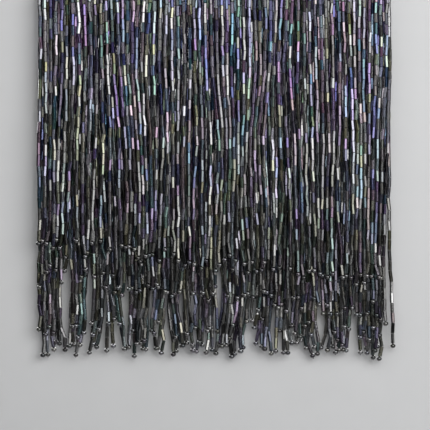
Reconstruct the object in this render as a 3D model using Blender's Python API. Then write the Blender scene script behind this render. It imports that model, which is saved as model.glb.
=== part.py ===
"""A beaded fringe trim, as it hangs.

Two strung fringes lie one behind the other, the front one short and the rear one long. Each is a cut
length of woven heading tape, with two ranks of bead strands that leave its lower edge by turns and fan
out, one rank to the front and one to the back. Lower down the strands sway, lean on their neighbours
and gather into locks with partings between them.

Frame: metres, +Z up. The origin is the middle of the tapes' top edge, and the front faces -Y.
"""

import math
import random
from collections import namedtuple

import bmesh
import bpy
from mathutils import Matrix, Vector

# Driving sizes, in metres
TRIM_WIDTH = 0.208
TAPE_HEIGHT = 0.012
TAPE_THICKNESS = 0.0016
TAPE_GAP = 0.0003
STRANDS_IN_RANK = 64
BEAD_WIDTH = 0.0019
ROOT_WIDTH = 0.0008
LEAST_SPACING = 0.00235
RANK_SPACING = 0.0026
FAN_DROP = 0.008
LEAST_END_PIECE = 0.0008

# The drops below the tape where a strand may bend, closer together towards the ends, in metres
SECTION_DROPS = (FAN_DROP, 0.050, 0.092, 0.130, 0.158, 0.180, 0.198, 0.214, 0.230)

# How the strands wander, in metres
LOOSENING_DROP = 0.020
SLOW_WANDER = 0.0005
QUICK_WANDER = 0.0003
SLOW_WAVELENGTH = 0.150
QUICK_WAVELENGTH = 0.067
END_SWING_DROP = 0.034
DEPTH_WANDER = 0.00012
PARTING_OPENS_OVER = 0.034
PARTING_SHUTS_OVER = 0.018
PARTING_REACH = 0.007
STAYS_OPEN = math.inf
SIDE_STEADINESS = 8

# A rank of strands: its tape, its place front to back, which roots it takes, its hem at the left and
# right, how far its ends stray up and down, its share of the sway, and how far its ends swing aside
Rank = namedtuple("Rank", "name fringe place turn hem_left hem_right ragged sway swing phase seed")
RANKS = (
    Rank("short", "front", -1.5, 0, 0.155, 0.177, 0.0062, 1.0, 0.0030, 0.0, 11),
    Rank("middle", "front", -0.5, 1, 0.174, 0.196, 0.0075, 0.9, 0.0036, 1.9, 23),
    Rank("long", "rear", 0.5, 0, 0.209, 0.211, 0.0135, 0.35, 0.0056, 3.4, 37),
    Rank("rearmost", "rear", 1.5, 1, 0.218, 0.218, 0.0066, 0.35, 0.0060, 3.4, 53),
)

# A slow wave that runs across the whole fringe and down it
Wave = namedtuple("Wave", "swing across down phase")
WAVES = (
    Wave(0.0012, 0.081, 0.240, 0.4),
    Wave(0.0009, 0.043, 0.135, 2.1),
    Wave(0.0006, 0.026, 0.094, 4.4),
)

# A group of strands that leans aside between two drops and hangs on from there
Lean = namedtuple("Lean", "rank across spread top bottom shift")
LEANS = (
    Lean("short", -0.0560, 0.0100, 0.034, 0.116, 0.0095),
    Lean("short", -0.0405, 0.0080, 0.080, 0.118, -0.0034),
    Lean("short", 0.0010, 0.0075, 0.062, 0.098, 0.0066),
    Lean("short", 0.0130, 0.0060, 0.064, 0.100, -0.0026),
    Lean("short", 0.0330, 0.0065, 0.076, 0.100, -0.0036),
    Lean("short", 0.0800, 0.0060, 0.052, 0.070, 0.0042),
    Lean("short", 0.0970, 0.0055, 0.068, 0.088, -0.0032),
    Lean("short", -0.0880, 0.0070, 0.052, 0.102, -0.0030),
    Lean("short", -0.0330, 0.0055, 0.148, 0.176, -0.0042),
    Lean("short", 0.0580, 0.0060, 0.110, 0.150, 0.0036),
    Lean("middle", -0.0700, 0.0090, 0.060, 0.140, 0.0050),
    Lean("middle", -0.0200, 0.0080, 0.030, 0.090, -0.0045),
    Lean("middle", 0.0240, 0.0080, 0.100, 0.160, 0.0048),
    Lean("middle", 0.0700, 0.0070, 0.120, 0.180, -0.0044),
    Lean("short", 0.1015, 0.0060, 0.104, 0.150, -0.0034),
    Lean("middle", 0.1035, 0.0060, 0.104, 0.150, -0.0050),
    Lean("long", 0.1015, 0.0060, 0.108, 0.158, -0.0048),
    Lean("rearmost", 0.0980, 0.0036, 0.108, 0.158, -0.0042),
    Lean("rearmost", 0.1035, 0.0022, 0.165, 0.214, 0.0018),
)

# A gap between two locks of strands, from the drop where it opens to the drop where it shuts
Parting = namedtuple("Parting", "across top width bottom")
REAR_PARTINGS = (
    Parting(-0.0870, 0.142, 0.0083, 0.198),
    Parting(-0.0745, 0.154, 0.0093, 0.199),
    Parting(-0.0655, 0.178, 0.0061, STAYS_OPEN),
    Parting(-0.0543, 0.150, 0.0090, 0.193),
    Parting(-0.0372, 0.172, 0.0073, STAYS_OPEN),
    Parting(-0.0275, 0.184, 0.0049, STAYS_OPEN),
    Parting(-0.0202, 0.168, 0.0059, STAYS_OPEN),
    Parting(-0.0127, 0.158, 0.0054, 0.200),
    Parting(0.0022, 0.154, 0.0061, 0.198),
    Parting(0.0110, 0.186, 0.0049, STAYS_OPEN),
    Parting(0.0236, 0.170, 0.0076, STAYS_OPEN),
    Parting(0.0360, 0.174, 0.0068, STAYS_OPEN),
    Parting(0.0438, 0.170, 0.0068, STAYS_OPEN),
    Parting(0.0630, 0.166, 0.0100, STAYS_OPEN),
    Parting(0.0830, 0.166, 0.0078, STAYS_OPEN),
    Parting(0.0947, 0.158, 0.0054, 0.196),
)
FRONT_PARTINGS = (
    Parting(-0.0853, 0.132, 0.0052, STAYS_OPEN),
    Parting(-0.0738, 0.136, 0.0050, STAYS_OPEN),
    Parting(-0.0543, 0.140, 0.0052, STAYS_OPEN),
    Parting(-0.0127, 0.146, 0.0032, STAYS_OPEN),
    Parting(0.0026, 0.140, 0.0030, STAYS_OPEN),
    Parting(0.0640, 0.150, 0.0044, STAYS_OPEN),
)
PARTINGS = {
    "short": (),
    "middle": FRONT_PARTINGS,
    "long": REAR_PARTINGS,
    "rearmost": REAR_PARTINGS + (Parting(0.1014, 0.102, 0.0024, STAYS_OPEN),),
}

BEAD_COLOURS = {"front": (0.090, 0.085, 0.105, 1.0), "rear": (0.055, 0.055, 0.060, 1.0)}
BEAD_ROUGHNESS = 0.25
BEAD_METALLIC = 0.9


def smooth_step(value):
    """0 below 0, 1 above 1, and a smooth rise between."""
    held = min(max(value, 0.0), 1.0)
    return held * held * (3.0 - 2.0 * held)


def loosened(drop):
    """How freely a strand moves aside at this drop below the tape, from 0 to 1."""
    return 1.0 - math.exp(-max(drop - FAN_DROP, 0.0) / LOOSENING_DROP)


def side_freedom(start):
    """How freely a strand moves aside for its place, from 1 in the middle to almost 0 at the sides."""
    return 1.0 - abs(2.0 * start / TRIM_WIDTH) ** SIDE_STEADINESS


def waved(rank, start, drop):
    """The shift that the slow waves give a strand."""
    turns = 2.0 * math.pi
    return rank.sway * loosened(drop) * side_freedom(start) * sum(
        w.swing * math.sin(turns * (start / w.across + drop / w.down) + w.phase + rank.phase)
        for w in WAVES
    )


def leaned(rank, start, drop):
    """The shift that the leans of a rank give a strand."""
    shift = 0.0
    for lean in LEANS:
        if lean.rank == rank.name:
            nearness = math.exp(-(((start - lean.across) / lean.spread) ** 2))
            progress = smooth_step((drop - lean.top) / (lean.bottom - lean.top))
            shift += lean.shift * nearness * progress
    return shift


def parted(rank, start, drop):
    """The shift that the partings of a rank give a strand."""
    shift = 0.0
    for parting in PARTINGS[rank.name]:
        aside = start - parting.across
        opened = smooth_step((drop - parting.top) / PARTING_OPENS_OVER)
        shut = smooth_step((drop - parting.bottom) / PARTING_SHUTS_OVER)
        push = 0.5 * parting.width * (opened - shut) * math.exp(-abs(aside) / PARTING_REACH)
        shift += math.copysign(push, aside)
    return shift


def spaced_out(wanted):
    """The places nearest to those wanted that keep their order and the least spacing."""
    pools = []
    for turn, place in enumerate(wanted):
        pools.append([place - turn * LEAST_SPACING, 1])
        while len(pools) > 1 and pools[-2][0] * pools[-1][1] > pools[-1][0] * pools[-2][1]:
            total, count = pools.pop()
            pools[-1][0] += total
            pools[-1][1] += count
    level = [total / count for total, count in pools for _ in range(count)]
    return [place + turn * LEAST_SPACING for turn, place in enumerate(level)]


def strand_habits(rank):
    """Each strand of a rank as a dictionary: its start, its hem, and how it wanders by itself."""
    chance = random.Random(rank.seed)
    pitch = TRIM_WIDTH / STRANDS_IN_RANK
    habits = []
    for index in range(STRANDS_IN_RANK):
        start = -TRIM_WIDTH / 2 + (index + 0.25 + 0.5 * rank.turn) * pitch
        share = start / TRIM_WIDTH + 0.5
        hem = rank.hem_left + (rank.hem_right - rank.hem_left) * share
        habits.append(
            {
                "start": start,
                "hem": hem + rank.ragged * (chance.random() + chance.random() - 1.0),
                "slow_phase": chance.uniform(0.0, 2.0 * math.pi),
                "quick_phase": chance.uniform(0.0, 2.0 * math.pi),
                "end_swing": chance.uniform(-rank.swing, rank.swing) * side_freedom(start),
                "depth_shift": chance.uniform(-DEPTH_WANDER, DEPTH_WANDER),
            }
        )
    return habits


def wandered(rank, habit, drop):
    """The shift that a strand takes by itself."""
    turns = 2.0 * math.pi
    slow = SLOW_WANDER * math.sin(turns * drop / SLOW_WAVELENGTH + habit["slow_phase"])
    quick = QUICK_WANDER * math.sin(turns * drop / QUICK_WAVELENGTH + habit["quick_phase"])
    into_end = (drop - habit["hem"] + END_SWING_DROP) / END_SWING_DROP
    return rank.sway * loosened(drop) * (slow + quick) + habit["end_swing"] * smooth_step(into_end)


def places_across(rank, habits, drop):
    """Where the strands of a rank hang across the trim, at one drop."""
    wanted = [
        habit["start"]
        + waved(rank, habit["start"], drop)
        + leaned(rank, habit["start"], drop)
        + parted(rank, habit["start"], drop)
        + wandered(rank, habit, drop)
        for habit in habits
    ]
    return spaced_out(wanted)


def tape_middle(fringe):
    """The place front to back of the middle of a fringe's tape."""
    aside = 0.5 * (TAPE_GAP + TAPE_THICKNESS)
    return -aside if fringe == "front" else aside


def strand_paths(rank):
    """The points of each strand of a rank below its root, the last one at its hem."""
    habits = strand_habits(rank)
    rows = [places_across(rank, habits, drop) for drop in SECTION_DROPS]
    paths = []
    for index, habit in enumerate(habits):
        depth = rank.place * RANK_SPACING + habit["depth_shift"]
        hem = habit["hem"]
        path = [
            Vector((row[index], depth, -TAPE_HEIGHT - drop))
            for drop, row in zip(SECTION_DROPS, rows)
            if drop < hem - LEAST_END_PIECE
        ]
        below = next(n for n, drop in enumerate(SECTION_DROPS) if drop >= hem)
        share = (hem - SECTION_DROPS[below - 1]) / (SECTION_DROPS[below] - SECTION_DROPS[below - 1])
        across = rows[below - 1][index] * (1.0 - share) + rows[below][index] * share
        path.append(Vector((across, depth, -TAPE_HEIGHT - hem)))
        paths.append(path)
    return paths


def add_tape(bm, fringe):
    """Adds the tape as a closed bar, and returns its bottom cells from left to right.

    The cells are alternately a gap and a strand's root, and a half gap ends the row on each side.
    """
    roots = 2 * STRANDS_IN_RANK
    cells = bmesh.ops.create_grid(
        bm,
        x_segments=2 * roots + 1,
        y_segments=1,
        size=0.5,
        matrix=Matrix.Translation((0.0, tape_middle(fringe), -TAPE_HEIGHT))
        @ Matrix.Diagonal((TRIM_WIDTH, TAPE_THICKNESS, 1.0, 1.0)),
    )
    root_pitch = TRIM_WIDTH / roots
    for vertex in cells["verts"]:
        line = round((vertex.co.x / TRIM_WIDTH + 0.5) * (2 * roots + 1))
        if 0 < line < 2 * roots + 1:
            root, side = divmod(line - 1, 2)
            middle = -TRIM_WIDTH / 2 + (root + 0.5) * root_pitch
            vertex.co.x = middle + (side - 0.5) * ROOT_WIDTH
    raised = bmesh.ops.extrude_face_region(bm, geom=bm.faces[:], use_keep_orig=True)["geom"]
    upper = [item for item in raised if isinstance(item, bmesh.types.BMVert)]
    bmesh.ops.translate(bm, verts=upper, vec=(0.0, 0.0, TAPE_HEIGHT))
    walls = [e for e in bm.edges if any(v.co.z > -TAPE_HEIGHT / 2 for v in e.verts)]
    bmesh.ops.dissolve_limit(bm, angle_limit=math.radians(1.0), verts=upper, edges=walls)
    bmesh.ops.recalc_face_normals(bm, faces=bm.faces[:])
    bottom = [f for f in bm.faces if f.normal.z < -0.5]
    return sorted(bottom, key=lambda face: face.calc_center_median().x)


def set_section(face, middle):
    """Makes a strand's lowest face a level square of the beads' width, round a point."""
    old_middle = face.calc_center_median()
    half = 0.5 * BEAD_WIDTH
    for vertex in face.verts:
        aside = vertex.co - old_middle
        vertex.co = middle + Vector((math.copysign(half, aside.x), math.copysign(half, aside.y), 0.0))


def hang_strand(bm, root, path):
    """Draws a strand down from its root on the tape, through the points of its path."""
    face = root
    for point in path:
        face = bmesh.ops.extrude_discrete_faces(bm, faces=[face])["faces"][0]
        set_section(face, point)


def bead_material(fringe):
    """Dark glass beads with an iris finish."""
    material = bpy.data.materials.new(fringe + "_beads")
    material.use_nodes = True
    shader = material.node_tree.nodes["Principled BSDF"]
    shader.inputs["Base Color"].default_value = BEAD_COLOURS[fringe]
    shader.inputs["Roughness"].default_value = BEAD_ROUGHNESS
    shader.inputs["Metallic"].default_value = BEAD_METALLIC
    return material


def make_fringe(fringe, collection):
    """One strung fringe: its tape and the two ranks of strands that hang from it."""
    bm = bmesh.new()
    cells = add_tape(bm, fringe)
    roots = cells[1::2]
    for rank in RANKS:
        if rank.fringe == fringe:
            for root, path in zip(roots[rank.turn :: 2], strand_paths(rank)):
                hang_strand(bm, root, path)
    mesh = bpy.data.meshes.new("fringe_" + fringe)
    bm.to_mesh(mesh)
    bm.free()
    mesh.materials.append(bead_material(fringe))
    piece = bpy.data.objects.new("fringe_" + fringe, mesh)
    collection.objects.link(piece)
    return piece


def main():
    for old in list(bpy.data.objects):
        bpy.data.objects.remove(old)
    collection = bpy.data.collections.new("beaded_fringe_trim")
    bpy.context.scene.collection.children.link(collection)
    for fringe in ("front", "rear"):
        make_fringe(fringe, collection)


main()
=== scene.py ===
"""The looks of a hanging beaded fringe trim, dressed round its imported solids.

Every strand of the solids becomes a thread strung with cut bugle beads and closed by a round end bead,
and the solids' two backing strips become ribbed heading tapes with their sewing.
"""

import math
from collections import namedtuple

import bmesh
import bpy
import numpy as np
from mathutils import Matrix, Vector


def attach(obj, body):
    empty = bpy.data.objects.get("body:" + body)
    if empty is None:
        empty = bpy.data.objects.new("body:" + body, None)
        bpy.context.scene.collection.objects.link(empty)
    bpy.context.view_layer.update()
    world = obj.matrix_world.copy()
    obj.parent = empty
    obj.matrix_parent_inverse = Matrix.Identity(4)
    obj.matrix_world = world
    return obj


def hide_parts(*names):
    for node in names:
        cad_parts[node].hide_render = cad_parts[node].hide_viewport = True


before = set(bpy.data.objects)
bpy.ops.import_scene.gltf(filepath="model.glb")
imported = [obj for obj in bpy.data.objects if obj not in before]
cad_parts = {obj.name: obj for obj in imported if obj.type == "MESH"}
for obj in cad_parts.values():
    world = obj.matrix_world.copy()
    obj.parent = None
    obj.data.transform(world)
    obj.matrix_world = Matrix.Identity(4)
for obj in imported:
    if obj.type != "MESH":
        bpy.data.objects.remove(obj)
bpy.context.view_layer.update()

# The heading tapes, in metres
TAPE_HEIGHT = 0.012
TAPE_THICKNESS = 0.0016
TAPE_GAP = 0.0003
TAPE_WIDTH = 0.208
RIB_PITCH = 0.0009
RIB_DEPTH = 0.00012
STEPS_IN_RIB = 4

# The tape's section: its points, and the power that squares its round corners off
SECTION_POINTS = 24
SQUARING = 0.35

# The beads, in metres
BUGLE_LENGTH = 0.0060
BUGLE_WIDTH = 0.0023
BUGLE_SIDES = 6
FACET_EDGE = 0.00007
RIM_CHAMFER = 0.00010
LEAST_BEAD_GAP = 0.00013
END_BEAD_WIDTH = 0.0031
END_BEAD_HEIGHT = 0.0028
END_BEAD_SIDES = 10
END_BEAD_RINGS = 7

# How the beads differ from one another: shares of their length, width and size, and of the least gap
LENGTH_SPREAD = 0.07
WIDTH_SPREAD = 0.02
END_BEAD_SPREAD = 0.03
GAP_SHARES = (0.8, 1.6)

# How often a bead follows the one above it, and how far its spin, tint, richness and shade drift then
FOLLOWING = 0.45
HABIT_DRIFTS = (0.10, 0.05, 0.10, 0.30)

# The spread of the tint over a bugle's facets, the middle and spread of the bugles' shades, and the
# most richness that an end bead has
FACET_TINT_SPREAD = 0.03
MIDDLE_SHADE = 0.5
SHADE_SPREAD = 0.27
END_BEAD_RICHNESS = 0.5

# The threads, in metres
THREAD_WIDTH = 0.00042
LEAST_BARE_THREAD = 0.0015
STITCH_REACH = 0.0030
SEAM_PITCH = 0.0032
SEAM_HEIGHTS = (-0.0024, -0.0078)

# A strand's stitch: how far out from the tape's middle it starts, and how far out it turns under the
# edge, as shares of the way to the tape's face
STITCH_START = 0.5
STITCH_UNDER = 0.4

# A seam's stitches: the four places where one starts, comes up, goes down and ends, and the place of the
# first, all in pitches; how far out in the tape they start, as a share of its thickness; and how far
# they stand out of its face, in thread widths
SEAM_PLACES = (0.0, 0.12, 0.68, 0.80)
SEAM_START = 0.1
SEAM_DEPTH = 0.6
SEAM_RELIEF = 0.3

# How a strand is read from its solid: lengths in metres, and the decimals that tell its levels apart
WELD = 1e-6
LEVEL_DECIMALS = 5
LINE_STEP = 0.001
LEAST_STEPS = 8
EASING = 0.009

# How far the joints between beads stray from the solid, in metres, more towards the ends, and the
# shares of it across the fringe and in its depth
JOINT_STRAY = 0.00021
END_JOINT_STRAY = 0.00046
END_STRAY_REACH = 0.030
STRAY_SHARES = (1.0, 0.5)

# How the bugles' richness falls and their tints lean with the drop below the tapes' top, in metres
VIVID_DROPS = (0.03, 0.08, 0.14, 0.185)
VIVIDNESS = (1.0, 0.9, 0.75, 0.5)
TINT_LEAN = (0.75, 0.8, 1.1, 1.7)

# A fringe's solid, the two ranks of strands in it, the outer one first, and the painted shade that
# darkens its bugles at the same drops, standing in for the light falling off down the fringe; its side
# is
# -1 for the front and 1 for the back
Fringe = namedtuple("Fringe", "name node side slot ranks seed fading")
FRINGES = (
    Fringe(
        name="front",
        node="fringe_front",
        side=-1,
        slot="front_beads",
        ranks=("short", "middle"),
        seed=41,
        fading=(1.0, 0.97, 0.84, 0.66),
    ),
    Fringe(
        name="rear",
        node="fringe_rear",
        side=1,
        slot="rear_beads",
        ranks=("rearmost", "long"),
        seed=59,
        fading=(1.0, 1.0, 1.0, 1.0),
    ),
)

# The picture: the view's middle and width at the fringe, and the camera's distance, in metres, and the
# sensor's width in millimetres
VIEW_MIDDLE = Vector((0.0003, -0.003, -0.14885))
VIEW_SIZE = 0.2537
CAMERA_DISTANCE = 1.2
SENSOR = 36.0


# Pieces


def new_object(name, data):
    """An object of the scene that holds a mesh, curve, light or camera."""
    made = bpy.data.objects.new(name, data)
    bpy.context.scene.collection.objects.link(made)
    return made


def finish_piece(piece, material):
    """Gives a new piece its material, and lets it ride with the trim."""
    piece.data.materials.append(material)
    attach(piece, "root")


# Strands, read from the solids


def strand_lines(node):
    """The middle line of each strand of a fringe's solid, from its root on the tape to its hem."""
    bm = bmesh.new()
    bm.from_mesh(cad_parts[node].data)
    bmesh.ops.remove_doubles(bm, verts=bm.verts, dist=WELD)
    tape = [f for f in bm.faces if all(v.co.z > -TAPE_HEIGHT - WELD for v in f.verts)]
    bmesh.ops.delete(bm, geom=tape, context="FACES")
    unseen = set(bm.verts)
    lines = []
    while unseen:
        reached = [unseen.pop()]
        for vertex in reached:
            for edge in vertex.link_edges:
                other = edge.other_vert(vertex)
                if other in unseen:
                    unseen.remove(other)
                    reached.append(other)
        levels = {}
        for vertex in reached:
            levels.setdefault(round(vertex.co.z, LEVEL_DECIMALS), []).append(vertex.co)
        line = [np.mean(levels[height], axis=0) for height in sorted(levels, reverse=True)]
        lines.append(np.array(line))
    bm.free()
    return lines


def ranks_of(fringe):
    """The strands of a fringe by rank, each rank from left to right."""
    lines = strand_lines(fringe.node)
    depths = np.array([abs(line[1][1]) for line in lines])
    outer = depths > depths.mean()
    ranks = {}
    for name, chosen in zip(fringe.ranks, (outer, ~outer)):
        rank = [line for line, taken in zip(lines, chosen) if taken]
        ranks[name] = sorted(rank, key=lambda line: line[0][0])
    return ranks


def eased(line):
    """A strand's line with its corners rounded, as points a small step apart, from root to hem."""
    drops = line[0][2] - line[:, 2]
    count = max(int(round(drops[-1] / LINE_STEP)), LEAST_STEPS)
    fine = np.linspace(0.0, drops[-1], count + 1)
    reach = int(round(EASING / LINE_STEP))
    weights = np.hanning(2 * reach + 3)[1:-1]
    weights /= weights.sum()
    points = np.empty((len(fine), 3))
    points[:, 2] = line[0][2] - fine
    for axis in (0, 1):
        values = np.interp(fine, drops, line[:, axis])
        before = 2.0 * values[0] - values[reach:0:-1]
        after = 2.0 * values[-1] - values[-2 : -reach - 2 : -1]
        points[:, axis] = np.convolve(np.concatenate([before, values, after]), weights, "valid")
    return points


def strung(line, chance):
    """The joints between a strand's beads, from the first bead's top to the end bead's top."""
    points = eased(line)
    steps = np.linalg.norm(np.diff(points, axis=0), axis=1)
    run = np.concatenate([[0.0], np.cumsum(steps)])
    first = LEAST_BARE_THREAD + chance.random() * BUGLE_LENGTH
    last = run[-1] - END_BEAD_HEIGHT
    count = int((last - first) / (BUGLE_LENGTH + LEAST_BEAD_GAP))
    lengths = chance.normal(1.0, LENGTH_SPREAD, count)
    shares = np.concatenate([[0.0], np.cumsum(lengths)]) / lengths.sum()
    places = first + (last - first) * shares
    joints = np.stack([np.interp(places, run, points[:, axis]) for axis in range(3)], axis=1)
    nearness = np.clip(1.0 - (last - places) / END_STRAY_REACH, 0.0, 1.0)
    stray = JOINT_STRAY + (END_JOINT_STRAY - JOINT_STRAY) * nearness
    joints[:, :2] += chance.normal(size=(count + 1, 2)) * stray[:, None] * STRAY_SHARES
    return joints


# Beads


def bevel(bm, edges, width):
    """Cuts edges off, each to one flat."""
    bmesh.ops.bevel(
        bm,
        geom=edges,
        offset=width,
        offset_type="OFFSET",
        segments=1,
        profile=0.5,
        affect="EDGES",
        material=-1,
    )


def bugle_template():
    """A cut bugle bead about the origin, along Z: a bar with cut facets, eased edges and rims."""
    bm = bmesh.new()
    bmesh.ops.create_cone(
        bm,
        cap_ends=True,
        segments=BUGLE_SIDES,
        radius1=BUGLE_WIDTH / 2,
        radius2=BUGLE_WIDTH / 2,
        depth=BUGLE_LENGTH,
    )
    uprights = [e for e in bm.edges if abs(e.verts[0].co.z - e.verts[1].co.z) > BUGLE_LENGTH / 2]
    bevel(bm, uprights, FACET_EDGE)
    rims = [e for e in bm.edges if abs(e.verts[0].co.z - e.verts[1].co.z) < BUGLE_LENGTH / 2]
    bevel(bm, rims, RIM_CHAMFER)
    return bm


def end_bead_template():
    """A round bead about the origin, a little flattened along Z."""
    bm = bmesh.new()
    bmesh.ops.create_uvsphere(
        bm, u_segments=END_BEAD_SIDES, v_segments=END_BEAD_RINGS, radius=END_BEAD_WIDTH / 2
    )
    bmesh.ops.scale(bm, verts=bm.verts, vec=(1.0, 1.0, END_BEAD_HEIGHT / END_BEAD_WIDTH))
    return bm


def turned(ups, spins):
    """A frame for each bead: its Z along the thread, and its facets turned round it by a spin."""
    aside = np.cross(ups, np.array([0.0, 1.0, 0.0]))
    aside /= np.linalg.norm(aside, axis=1)[:, None]
    ahead = np.cross(ups, aside)
    cosine, sine = np.cos(spins)[:, None], np.sin(spins)[:, None]
    return np.stack([cosine * aside + sine * ahead, cosine * ahead - sine * aside, ups], axis=2)


def joined_copies(name, template, middles, turns, sizes, traits):
    """One mesh object of many copies of a template, with traits kept on their faces.

    A trait is an array with a value for each copy, or for each face of each copy.
    """
    template.verts.index_update()
    shape = np.array([v.co for v in template.verts])
    rings = [[v.index for v in f.verts] for f in template.faces]
    template.free()
    copies = len(middles)
    placed = np.einsum("nij,nvj->nvi", turns, shape[None] * sizes[:, None, :]) + middles[:, None, :]
    lengths = np.array([len(ring) for ring in rings])
    firsts = np.concatenate([[0], np.cumsum(lengths)[:-1]])
    shifts = np.arange(copies)[:, None]
    corners = np.concatenate(rings) + shifts * len(shape)
    starts = firsts + shifts * lengths.sum()
    mesh = bpy.data.meshes.new(name)
    mesh.vertices.add(copies * len(shape))
    mesh.vertices.foreach_set("co", placed.astype(np.float32).ravel())
    mesh.loops.add(corners.size)
    mesh.loops.foreach_set("vertex_index", corners.astype(np.int32).ravel())
    mesh.polygons.add(starts.size)
    mesh.polygons.foreach_set("loop_start", starts.astype(np.int32).ravel())
    mesh.update(calc_edges=True)
    mesh.shade_flat()
    for trait, values in traits.items():
        held = np.broadcast_to(values.reshape(copies, -1), (copies, len(rings)))
        layer = mesh.attributes.new(trait, "FLOAT", "FACE")
        layer.data.foreach_set("value", held.astype(np.float32).ravel())
    return new_object(name, mesh)


def bead_habits(count, chance):
    """The spin, tint, richness and shade of each bead of a strand; some follow the bead above."""
    habits = np.empty((count, 4))
    for index in range(count):
        spin = chance.uniform(0.0, 2.0 * math.pi)
        tint = chance.random()
        richness = chance.random()
        shade = chance.normal()
        habits[index] = (spin, tint, richness, shade)
        if index and chance.random() < FOLLOWING:
            habits[index] = habits[index - 1] + chance.normal(size=4) * HABIT_DRIFTS
    return habits


def make_bugles(fringe, rank, strands, material, chance):
    """The bugle beads of some strands of a rank, as one piece."""
    tops = np.concatenate([joints[:-1] for joints in strands])
    feet = np.concatenate([joints[1:] for joints in strands])
    habits = np.concatenate([bead_habits(len(joints) - 1, chance) for joints in strands])
    count = len(tops)
    runs = np.linalg.norm(tops - feet, axis=1)
    ups = (tops - feet) / runs[:, None]
    sizes = np.ones((count, 3))
    sizes[:, :2] = chance.normal(1.0, WIDTH_SPREAD, size=(count, 1))
    sizes[:, 2] = (runs - LEAST_BEAD_GAP * chance.uniform(*GAP_SHARES, count)) / BUGLE_LENGTH
    template = bugle_template()
    facets = len(template.faces)
    tints = habits[:, 1:2] + chance.normal(size=(count, facets)) * FACET_TINT_SPREAD
    shades = MIDDLE_SHADE + SHADE_SPREAD * habits[:, 3]
    ends = np.array([abs(f.normal.z) > 0.5 for f in template.faces], float)
    drops = -(tops[:, 2] + feet[:, 2]) / 2
    leans = np.interp(drops, VIVID_DROPS, TINT_LEAN)
    traits = {
        "tint": np.clip(tints, 0.0, 1.0) ** leans[:, None],
        "richness": np.clip(habits[:, 2], 0.0, 1.0) * np.interp(drops, VIVID_DROPS, VIVIDNESS),
        # The shade is each bugle's own random tone, times painted shade that darkens the front bugles
        # towards the hem for the light falling off there
        "shade": np.clip(shades, 0.0, 1.0) * np.interp(drops, VIVID_DROPS, fringe.fading),
        "cut_end": np.broadcast_to(ends, (count, facets)),
    }
    name = "bugles_" + rank
    turns = turned(ups, habits[:, 0])
    piece = joined_copies(name, template, (tops + feet) / 2, turns, sizes, traits)
    finish_piece(piece, material)
    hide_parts(fringe.node)


def make_end_beads(fringe, strands, material, chance):
    """The round beads that close the strands of a fringe, as one piece."""
    feet = np.array([joints[-1] for joints in strands])
    above = np.array([joints[-2] for joints in strands])
    ups = above - feet
    ups /= np.linalg.norm(ups, axis=1)[:, None]
    middles = feet - ups * END_BEAD_HEIGHT / 2
    count = len(strands)
    traits = {
        "tint": chance.random(count),
        "richness": chance.random(count) * END_BEAD_RICHNESS,
        "shade": chance.random(count),
        "cut_end": np.zeros(count),
    }
    sizes = np.ones((count, 3)) * chance.normal(1.0, END_BEAD_SPREAD, size=(count, 1))
    spins = chance.uniform(0.0, 2.0 * math.pi, count)
    name = "end_beads_" + fringe.name
    piece = joined_copies(name, end_bead_template(), middles, turned(ups, spins), sizes, traits)
    piece.data.shade_smooth()
    finish_piece(piece, material)


# Threads and tapes


def make_threads(name, runs, material):
    """Threads along a set of point runs, as one piece."""
    curve = bpy.data.curves.new(name, "CURVE")
    curve.dimensions = "3D"
    curve.bevel_depth = THREAD_WIDTH / 2
    curve.bevel_resolution = 0
    curve.use_fill_caps = True
    for run in runs:
        spline = curve.splines.new("POLY")
        spline.points.add(len(run) - 1)
        for point, place in zip(spline.points, run):
            point.co = (*place, 1.0)
    drawn = new_object(name + "_line", curve)
    depsgraph = bpy.context.evaluated_depsgraph_get()
    mesh = bpy.data.meshes.new_from_object(drawn.evaluated_get(depsgraph))
    bpy.data.objects.remove(drawn)
    mesh.name = name
    mesh.materials.clear()
    bm = bmesh.new()
    bm.from_mesh(mesh)
    bmesh.ops.remove_doubles(bm, verts=bm.verts, dist=WELD)
    bmesh.ops.recalc_face_normals(bm, faces=bm.faces)
    bm.to_mesh(mesh)
    bm.free()
    finish_piece(new_object(name, mesh), material)


def tape_middle(fringe):
    """Where the middle of a fringe's tape lies in depth."""
    return fringe.side * (TAPE_GAP + TAPE_THICKNESS) / 2


def strand_runs(fringe, roots, strands):
    """For each strand, its thread down through the beads, and its stitch over the tape's edge."""
    runs = []
    middle = tape_middle(fringe)
    face = TAPE_THICKNESS / 2 + THREAD_WIDTH / 2
    edge = -TAPE_HEIGHT
    for root, joints in zip(roots, strands):
        foot = joints[-1] + (joints[-1] - joints[-2]) / BUGLE_LENGTH * END_BEAD_HEIGHT
        across = root[0]
        runs.append([(across, middle, edge - THREAD_WIDTH), *joints, foot])
        for side in (-1, 1):
            runs.append(
                [
                    (across, middle + side * face * STITCH_START, edge + STITCH_REACH),
                    (across, middle + side * face, edge + STITCH_REACH - THREAD_WIDTH),
                    (across, middle + side * face, edge + THREAD_WIDTH),
                    (across, middle + side * face * STITCH_UNDER, edge - THREAD_WIDTH / 2),
                    (across, middle, edge - 2 * THREAD_WIDTH),
                ]
            )
    return runs


def seam_runs():
    """The rows of stitches that join the two tapes, each a thread that goes in and out through both."""
    face = TAPE_GAP / 2 + TAPE_THICKNESS + THREAD_WIDTH * SEAM_RELIEF
    deep = TAPE_GAP / 2 + TAPE_THICKNESS * SEAM_DEPTH
    count = int(TAPE_WIDTH / SEAM_PITCH) - 1
    runs = []
    for height in SEAM_HEIGHTS:
        run = []
        for stitch in range(count):
            start = (stitch - count / 2 + SEAM_START) * SEAM_PITCH
            side = -1 if stitch % 2 == 0 else 1
            for share, depth in zip(SEAM_PLACES, (deep, face, face, deep)):
                run.append((start + share * SEAM_PITCH, side * depth, height))
        runs.append(run)
    return runs


def squared(value):
    """A sine or cosine pushed out towards 1 or -1."""
    return math.copysign(abs(value) ** SQUARING, value)


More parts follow.
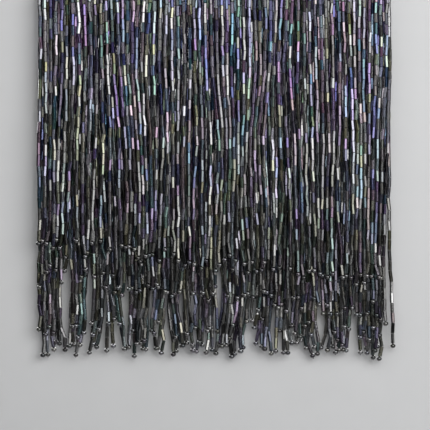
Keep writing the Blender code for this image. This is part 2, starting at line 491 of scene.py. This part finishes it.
def make_tape(fringe, material):
    """A ribbed heading tape: a rounded section drawn out along X in steps, and thinned between ribs."""
    name = "tape_" + fringe.name
    middle = tape_middle(fringe)
    bm = bmesh.new()
    drawn = bmesh.ops.create_circle(bm, cap_ends=False, segments=SECTION_POINTS, radius=0.5)
    for vertex in drawn["verts"]:
        angle = math.atan2(vertex.co.y, vertex.co.x)
        vertex.co = (
            -TAPE_WIDTH / 2,
            middle + squared(math.cos(angle)) * TAPE_THICKNESS / 2,
            -TAPE_HEIGHT / 2 + squared(math.sin(angle)) * TAPE_HEIGHT / 2,
        )
    steps = int(round(TAPE_WIDTH / RIB_PITCH)) * STEPS_IN_RIB
    bmesh.ops.spin(
        bm,
        geom=bm.edges[:],
        cent=(0.0, 0.0, 0.0),
        axis=(1.0, 0.0, 0.0),
        dvec=(TAPE_WIDTH / steps, 0.0, 0.0),
        angle=0.0,
        steps=steps,
        use_duplicate=False,
    )
    rims = [e for e in bm.edges if e.is_boundary]
    bmesh.ops.holes_fill(bm, edges=rims, sides=0)
    bmesh.ops.recalc_face_normals(bm, faces=bm.faces)
    for vertex in bm.verts:
        turn = 2.0 * math.pi * (vertex.co.x + TAPE_WIDTH / 2) / RIB_PITCH
        aside = vertex.co.y - middle
        vertex.co.y -= aside / (TAPE_THICKNESS / 2) * RIB_DEPTH * (1.0 - math.cos(turn)) / 2
    mesh = bpy.data.meshes.new(name)
    bm.to_mesh(mesh)
    bm.free()
    mesh.shade_smooth()
    piece = new_object(name, mesh)
    finish_piece(piece, material)


# Materials

# The iris coat's colours round its ramp, before they are made richer and darker
IRIS_TINTS = (
    (0.00, (0.49, 0.49, 0.49)),
    (0.07, (0.53, 0.51, 0.42)),
    (0.15, (0.48, 0.49, 0.40)),
    (0.21, (0.40, 0.48, 0.42)),
    (0.27, (0.36, 0.47, 0.46)),
    (0.37, (0.37, 0.45, 0.52)),
    (0.53, (0.38, 0.40, 0.53)),
    (0.68, (0.41, 0.39, 0.53)),
    (0.80, (0.46, 0.40, 0.53)),
    (0.90, (0.50, 0.41, 0.49)),
    (1.00, (0.51, 0.46, 0.46)),
)

# The fine streaks along a bead: how many to a metre across and along it, and how much the shade and the
# roughness change with them
STREAK_SCALE = (5200.0, 5200.0, 420.0)
STREAK_DETAIL = 2.0
LEAST_STREAK_SHADE = 0.72
STREAK_SHADE = 0.5
STREAK_ROUGHNESS = 0.14

# The richness of the darkest coat, what the palest one loses of it, and what a cut end changes
DARK_RICHNESS = 1.1
PALE_LOSS = -0.55
CUT_END_SHADE = -0.75
CUT_END_ROUGHNESS = 0.25

BeadLook = namedtuple("BeadLook", "richness darkest shade_share roughness")
BEAD_LOOKS = {
    "front": BeadLook(3.6, 0.06, 0.50, 0.20),
    "rear": BeadLook(4.2, 0.07, 0.62, 0.20),
    "ends": BeadLook(1.5, 0.10, 0.34, 0.04),
}
COATED_GLASS = {
    "Metallic": 0.93,
    "IOR": 1.8,
    "Coat Weight": 0.5,
    "Coat Roughness": 0.2,
    "Coat IOR": 1.6,
}

# Yarn and woven tape: the fibres' fineness per metre along X, Y and Z, and their two colours
FibreLook = namedtuple("FibreLook", "stretch dark light roughness")
THREAD = FibreLook((3000.0, 3000.0, 900.0), (0.006, 0.006, 0.008), (0.02, 0.02, 0.024), 0.6)
GROSGRAIN = FibreLook((1500.0, 4000.0, 9000.0), (0.008, 0.008, 0.01), (0.028, 0.028, 0.033), 0.75)
FIBRE_DETAIL = 3.0
FIBRE_BUMP = 0.35
FIBRE_HEIGHT = 0.00005
FIBRE_SHEEN = 0.25
FIBRE_SHEEN_ROUGHNESS = 0.5

# The matt greys of the wall and the floor, each wandering between two near colours
StageLook = namedtuple("StageLook", "scale dark light roughness")
WALL_LOOK = StageLook(60.0, (0.585, 0.589, 0.593), (0.612, 0.615, 0.620), 0.9)
FLOOR_LOOK = StageLook(9.0, (0.60, 0.60, 0.61), (0.65, 0.65, 0.655), 0.8)
WALL_SPECULAR = 0.1


def new_material(name):
    """A material with its Principled shader, as (material, nodes, links, shader)."""
    material = bpy.data.materials.new(name)
    material.use_nodes = True
    tree = material.node_tree
    return material, tree.nodes, tree.links, tree.nodes["Principled BSDF"]


def add_node(nodes, kind, **values):
    """A new node with some of its settings made."""
    node = nodes.new(kind)
    for name, value in values.items():
        setattr(node, name, value)
    return node


def set_inputs(node, values):
    """Sets a node's inputs from a table by their names."""
    for name, value in values.items():
        node.inputs[name].default_value = value


def math_node(nodes, links, operation, *values):
    """A Math node; each value is a number or a socket to take it from."""
    node = add_node(nodes, "ShaderNodeMath", operation=operation)
    for socket, value in zip(node.inputs, values):
        if isinstance(value, (int, float)):
            socket.default_value = value
        else:
            links.new(value, socket)
    return node.outputs[0]


def scaled(nodes, links, value, factor, base):
    """A value times a factor, on top of a base."""
    product = math_node(nodes, links, "MULTIPLY", value, factor)
    return math_node(nodes, links, "ADD", product, base)


def new_group(name, given, made):
    """A shader node group with named inputs and outputs, as (group, nodes, links, inputs, outputs)."""
    group = bpy.data.node_groups.new(name, "ShaderNodeTree")
    for way, sockets in (("INPUT", given), ("OUTPUT", made)):
        for socket, kind in sockets:
            group.interface.new_socket(name=socket, in_out=way, socket_type="NodeSocket" + kind)
    inputs = group.nodes.new("NodeGroupInput").outputs
    outputs = group.nodes.new("NodeGroupOutput").inputs
    return group, group.nodes, group.links, inputs, outputs


IRIS_INPUTS = (
    ("Tint", "Float"),
    ("Richness", "Float"),
    ("Shade", "Float"),
    ("Cut End", "Float"),
    ("Darkest", "Float"),
    ("Shade Share", "Float"),
    ("Least Roughness", "Float"),
)
FIBRE_INPUTS = (("Stretch", "Vector"), ("Dark", "Color"), ("Light", "Color"))


def iris_group():
    """The iris coat of a bead: a tint from the ramp, greyed and darkened, with fine streaks along it."""
    made = (("Color", "Color"), ("Roughness", "Float"))
    group, nodes, links, given, out = new_group("iris_coat", IRIS_INPUTS, made)

    ramp = nodes.new("ShaderNodeValToRGB")
    stops = ramp.color_ramp.elements
    while len(stops) < len(IRIS_TINTS):
        stops.new(0.5)
    for stop, (place, colour) in zip(stops, IRIS_TINTS):
        stop.position = place
        stop.color = (*colour, 1.0)
    links.new(given["Tint"], ramp.inputs["Fac"])

    coordinates = nodes.new("ShaderNodeTexCoord")
    stretch = nodes.new("ShaderNodeMapping")
    set_inputs(stretch, {"Scale": STREAK_SCALE})
    links.new(coordinates.outputs["Object"], stretch.inputs["Vector"])
    streaks = nodes.new("ShaderNodeTexNoise")
    set_inputs(streaks, {"Scale": 1.0, "Detail": STREAK_DETAIL})
    links.new(stretch.outputs["Vector"], streaks.inputs["Vector"])
    streak = streaks.outputs["Fac"]

    paleness = scaled(nodes, links, given["Shade"], PALE_LOSS, DARK_RICHNESS)
    saturation = math_node(nodes, links, "MULTIPLY", given["Richness"], paleness)
    richness = nodes.new("ShaderNodeHueSaturation")
    links.new(ramp.outputs["Color"], richness.inputs["Color"])
    links.new(saturation, richness.inputs["Saturation"])

    shade = scaled(nodes, links, given["Shade"], given["Shade Share"], given["Darkest"])
    streaked = scaled(nodes, links, streak, STREAK_SHADE, LEAST_STREAK_SHADE)
    shade = math_node(nodes, links, "MULTIPLY", shade, streaked)
    end_dim = scaled(nodes, links, given["Cut End"], CUT_END_SHADE, 1.0)
    shade = math_node(nodes, links, "MULTIPLY", shade, end_dim)
    dimmed = add_node(nodes, "ShaderNodeVectorMath", operation="SCALE")
    links.new(richness.outputs["Color"], dimmed.inputs[0])
    links.new(shade, dimmed.inputs["Scale"])
    links.new(dimmed.outputs[0], out["Color"])

    rough = scaled(nodes, links, streak, STREAK_ROUGHNESS, given["Least Roughness"])
    rough = scaled(nodes, links, given["Cut End"], CUT_END_ROUGHNESS, rough)
    links.new(rough, out["Roughness"])
    return group


def bead_material(name, group, look):
    """Dark glass under an iris coat, its tint and shade read from each facet's traits."""
    material, nodes, links, shader = new_material(name)
    coat = add_node(nodes, "ShaderNodeGroup", node_tree=group)
    set_inputs(
        coat,
        {
            "Darkest": look.darkest,
            "Shade Share": look.shade_share,
            "Least Roughness": look.roughness,
        },
    )
    for trait, socket in (("tint", "Tint"), ("shade", "Shade"), ("cut_end", "Cut End")):
        read = add_node(nodes, "ShaderNodeAttribute", attribute_name=trait)
        links.new(read.outputs["Fac"], coat.inputs[socket])
    read = add_node(nodes, "ShaderNodeAttribute", attribute_name="richness")
    richness = math_node(nodes, links, "MULTIPLY", read.outputs["Fac"], look.richness)
    links.new(richness, coat.inputs["Richness"])
    links.new(coat.outputs["Color"], shader.inputs["Base Color"])
    links.new(coat.outputs["Roughness"], shader.inputs["Roughness"])
    set_inputs(shader, COATED_GLASS)
    return material


def fibre_group():
    """Fine uneven fibres: a tone and a height for yarn and woven tape."""
    made = (("Color", "Color"), ("Height", "Float"))
    group, nodes, links, given, out = new_group("fibres", FIBRE_INPUTS, made)
    coordinates = nodes.new("ShaderNodeTexCoord")
    stretch = add_node(nodes, "ShaderNodeVectorMath", operation="MULTIPLY")
    links.new(coordinates.outputs["Object"], stretch.inputs[0])
    links.new(given["Stretch"], stretch.inputs[1])
    fibres = nodes.new("ShaderNodeTexNoise")
    set_inputs(fibres, {"Scale": 1.0, "Detail": FIBRE_DETAIL})
    links.new(stretch.outputs[0], fibres.inputs["Vector"])
    tone = add_node(nodes, "ShaderNodeMix", data_type="RGBA")
    links.new(fibres.outputs["Fac"], tone.inputs["Factor"])
    links.new(given["Dark"], tone.inputs["A"])
    links.new(given["Light"], tone.inputs["B"])
    links.new(tone.outputs["Result"], out["Color"])
    links.new(fibres.outputs["Fac"], out["Height"])
    return group


def fibre_material(name, group, look):
    """Black yarn or woven tape, with the fibres' tone and relief and a little sheen."""
    material, nodes, links, shader = new_material(name)
    fibres = add_node(nodes, "ShaderNodeGroup", node_tree=group)
    fibres.inputs["Stretch"].default_value = look.stretch
    fibres.inputs["Dark"].default_value = (*look.dark, 1.0)
    fibres.inputs["Light"].default_value = (*look.light, 1.0)
    bump = nodes.new("ShaderNodeBump")
    set_inputs(bump, {"Strength": FIBRE_BUMP, "Distance": FIBRE_HEIGHT})
    links.new(fibres.outputs["Color"], shader.inputs["Base Color"])
    links.new(fibres.outputs["Height"], bump.inputs["Height"])
    links.new(bump.outputs["Normal"], shader.inputs["Normal"])
    shader.inputs["Roughness"].default_value = look.roughness
    shader.inputs["Sheen Weight"].default_value = FIBRE_SHEEN
    shader.inputs["Sheen Roughness"].default_value = FIBRE_SHEEN_ROUGHNESS
    return material


def stage_material(name, look):
    """A matt surface of the stage, as (material, nodes, links, shader)."""
    material, nodes, links, shader = new_material(name)
    coordinates = nodes.new("ShaderNodeTexCoord")
    mottle = nodes.new("ShaderNodeTexNoise")
    mottle.inputs["Scale"].default_value = look.scale
    links.new(coordinates.outputs["Object"], mottle.inputs["Vector"])
    tone = add_node(nodes, "ShaderNodeMix", data_type="RGBA")
    tone.inputs["A"].default_value = (*look.dark, 1.0)
    tone.inputs["B"].default_value = (*look.light, 1.0)
    links.new(mottle.outputs["Fac"], tone.inputs["Factor"])
    links.new(tone.outputs["Result"], shader.inputs["Base Color"])
    shader.inputs["Roughness"].default_value = look.roughness
    return material, nodes, links, shader


def wall_material():
    """Matt pale grey, seen from the front only, so that the trim's back shows from behind."""
    material, nodes, links, shader = stage_material("grey_wall", WALL_LOOK)
    shader.inputs["Specular IOR Level"].default_value = WALL_SPECULAR
    facing = nodes.new("ShaderNodeNewGeometry")
    clear = nodes.new("ShaderNodeBsdfTransparent")
    choice = nodes.new("ShaderNodeMixShader")
    links.new(facing.outputs["Backfacing"], choice.inputs[0])
    links.new(shader.outputs[0], choice.inputs[1])
    links.new(clear.outputs[0], choice.inputs[2])
    links.new(choice.outputs[0], nodes["Material Output"].inputs["Surface"])
    return material


# Studio

# The wall, in metres: its gap is from the trim's middle, at the height of the tapes' top, and its lean
# is how far it goes back for each metre down
Wall = namedtuple("Wall", "width height base_height gap_at_top lean")
WALL = Wall(2.4, 1.7, -0.85, 0.0064, 0.013)
FLOOR_HEIGHT = -0.85
FLOOR_SIZE = 6.0

# Soft lights round the view's middle: degrees from the front and up, metres, and watts
Softbox = namedtuple("Softbox", "name azimuth elevation distance width height power")
SOFTBOXES = (
    Softbox("key", 30.0, 17.0, 0.8, 0.78, 0.60, 6.4),
    Softbox("front_fill", -32.0, 38.0, 1.15, 1.6, 1.2, 6.5),
    Softbox("back_key", 160.0, 30.0, 1.8, 0.9, 0.9, 24.0),
    Softbox("back_fill", 205.0, 20.0, 1.8, 0.9, 0.9, 12.0),
)

# The strength of the surroundings as they light the trim, and as the camera sees them
AMBIENT = 0.006
SEEN_SURROUNDINGS = 0.55


def stage_plane(name, placement, width, height, material):
    """A flat surface of the stage, about the origin of its placement and facing its Z."""
    bm = bmesh.new()
    bmesh.ops.create_grid(bm, x_segments=1, y_segments=1, size=0.5)
    bmesh.ops.scale(bm, verts=bm.verts, vec=(width, height, 1.0))
    bmesh.ops.transform(bm, verts=bm.verts, matrix=placement)
    mesh = bpy.data.meshes.new(name)
    bm.to_mesh(mesh)
    bm.free()
    mesh.materials.append(material)
    plane = new_object(name, mesh)
    return plane


def make_stage():
    """The wall close behind the trim, and a floor well under it."""
    hung = Matrix.Translation(Vector((0.0, WALL.gap_at_top, 0.0)))
    facing = Matrix.Rotation(math.pi / 2 + math.atan(WALL.lean), 4, "X")
    rise = Matrix.Translation((0.0, WALL.base_height + WALL.height / 2, 0.0))
    wall = stage_plane("wall", hung @ facing @ rise, WALL.width, WALL.height, wall_material())
    wall.visible_glossy = False
    wall.visible_diffuse = False
    wall.visible_shadow = False
    wall.visible_transmission = False
    lowered = Matrix.Translation((0.0, 0.0, FLOOR_HEIGHT))
    floor_material = stage_material("pale_floor", FLOOR_LOOK)[0]
    stage_plane("floor", lowered, FLOOR_SIZE, FLOOR_SIZE, floor_material)


def make_lights():
    """The soft lights, and surroundings that the camera sees brighter than they light."""
    for box in SOFTBOXES:
        light = bpy.data.lights.new(box.name, "AREA")
        light.shape = "RECTANGLE"
        light.size = box.width
        light.size_y = box.height
        light.energy = box.power
        azimuth, elevation = math.radians(box.azimuth), math.radians(box.elevation)
        out = Vector(
            (
                math.sin(azimuth) * math.cos(elevation),
                -math.cos(azimuth) * math.cos(elevation),
                math.sin(elevation),
            )
        )
        lamp = new_object(box.name, light)
        lamp.location = VIEW_MIDDLE + out * box.distance
        lamp.rotation_mode = "QUATERNION"
        lamp.rotation_quaternion = out.to_track_quat("Z", "Y")
        lamp.visible_camera = False
    world = bpy.data.worlds.new("studio")
    bpy.context.scene.world = world
    world.use_nodes = True
    nodes, links = world.node_tree.nodes, world.node_tree.links
    surroundings = nodes["Background"]
    surroundings.inputs["Color"].default_value = (1.0, 1.0, 1.0, 1.0)
    path = nodes.new("ShaderNodeLightPath")
    strength = nodes.new("ShaderNodeMapRange")
    set_inputs(strength, {"To Min": AMBIENT, "To Max": SEEN_SURROUNDINGS})
    links.new(path.outputs["Is Camera Ray"], strength.inputs["Value"])
    links.new(strength.outputs["Result"], surroundings.inputs["Strength"])


def make_camera():
    """A level camera straight in front, as far off as the picture's flat look asks."""
    camera = bpy.data.cameras.new("camera")
    camera.sensor_width = SENSOR
    camera.lens = SENSOR / 2 / (VIEW_SIZE / 2 / CAMERA_DISTANCE)
    seat = new_object("camera", camera)
    seat.location = VIEW_MIDDLE + Vector((0.0, -CAMERA_DISTANCE, 0.0))
    seat.rotation_euler = (math.pi / 2, 0.0, 0.0)
    bpy.context.scene.camera = seat


def main():
    scene = bpy.context.scene
    scene.view_settings.view_transform = "Standard"
    iris = iris_group()
    fibres = fibre_group()
    thread = fibre_material("thread", fibres, THREAD)
    grosgrain = fibre_material("grosgrain", fibres, GROSGRAIN)
    coats = {name: bead_material("iris_beads_" + name, iris, look) for name, look in BEAD_LOOKS.items()}
    for fringe in FRINGES:
        chance = np.random.default_rng(fringe.seed)
        roots, strands = [], []
        for rank, lines in ranks_of(fringe).items():
            rank_strands = [strung(line, chance) for line in lines]
            half = len(rank_strands) // 2
            for side, some in (("left", rank_strands[:half]), ("right", rank_strands[half:])):
                make_bugles(fringe, rank + "_" + side, some, coats[fringe.name], chance)
            strands += rank_strands
            roots += [line[0] for line in lines]
        make_end_beads(fringe, strands, coats["ends"], chance)
        make_threads("threads_" + fringe.name, strand_runs(fringe, roots, strands), thread)
        make_tape(fringe, grosgrain)
    make_threads("seam_threads", seam_runs(), thread)
    make_stage()
    make_lights()
    make_camera()


main()
